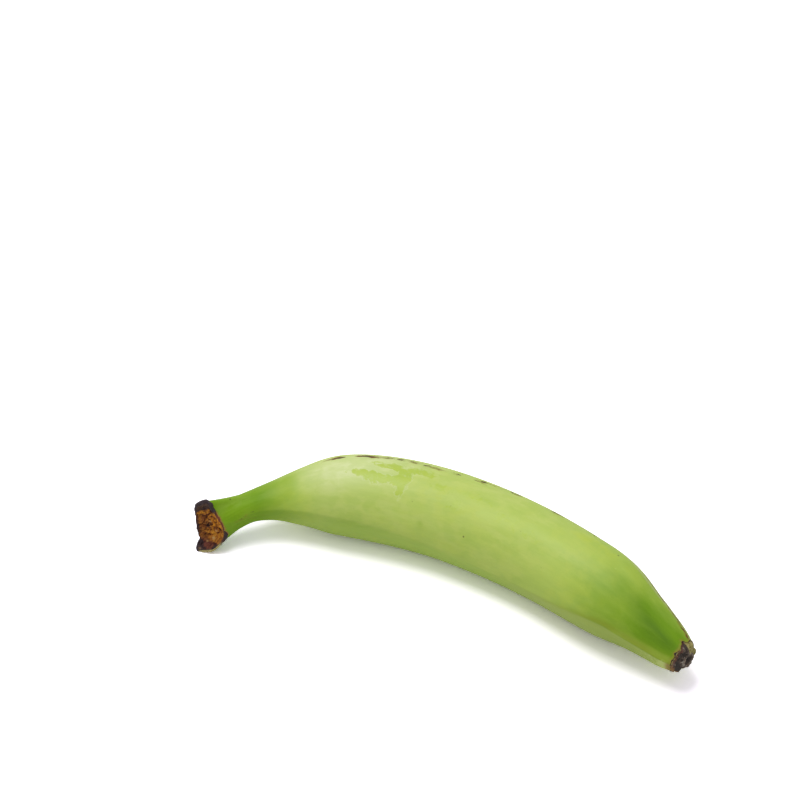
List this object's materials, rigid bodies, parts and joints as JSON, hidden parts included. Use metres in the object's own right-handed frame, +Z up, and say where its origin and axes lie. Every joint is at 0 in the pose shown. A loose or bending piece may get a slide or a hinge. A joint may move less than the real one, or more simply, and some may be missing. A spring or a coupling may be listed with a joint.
{
  "type": "plantain",
  "caption": "Whole green plantain lying on its side: a long, gently bent, ridged fruit with a cut stem and a dried flower end.",
  "frame": {"origin": "on the supporting surface, under the middle of the fruit's bounding box", "axes": "+X from the cut stem to the flower end, +Y towards the outside of the bend, +Z up"},
  "size_m": [0.2726, 0.0776, 0.0459],
  "materials": {
    "peel": "satin, smooth waxy green peel"
  },
  "bodies": {
    "root": {"plantain": "peel"}
  },
  "joints": []
}
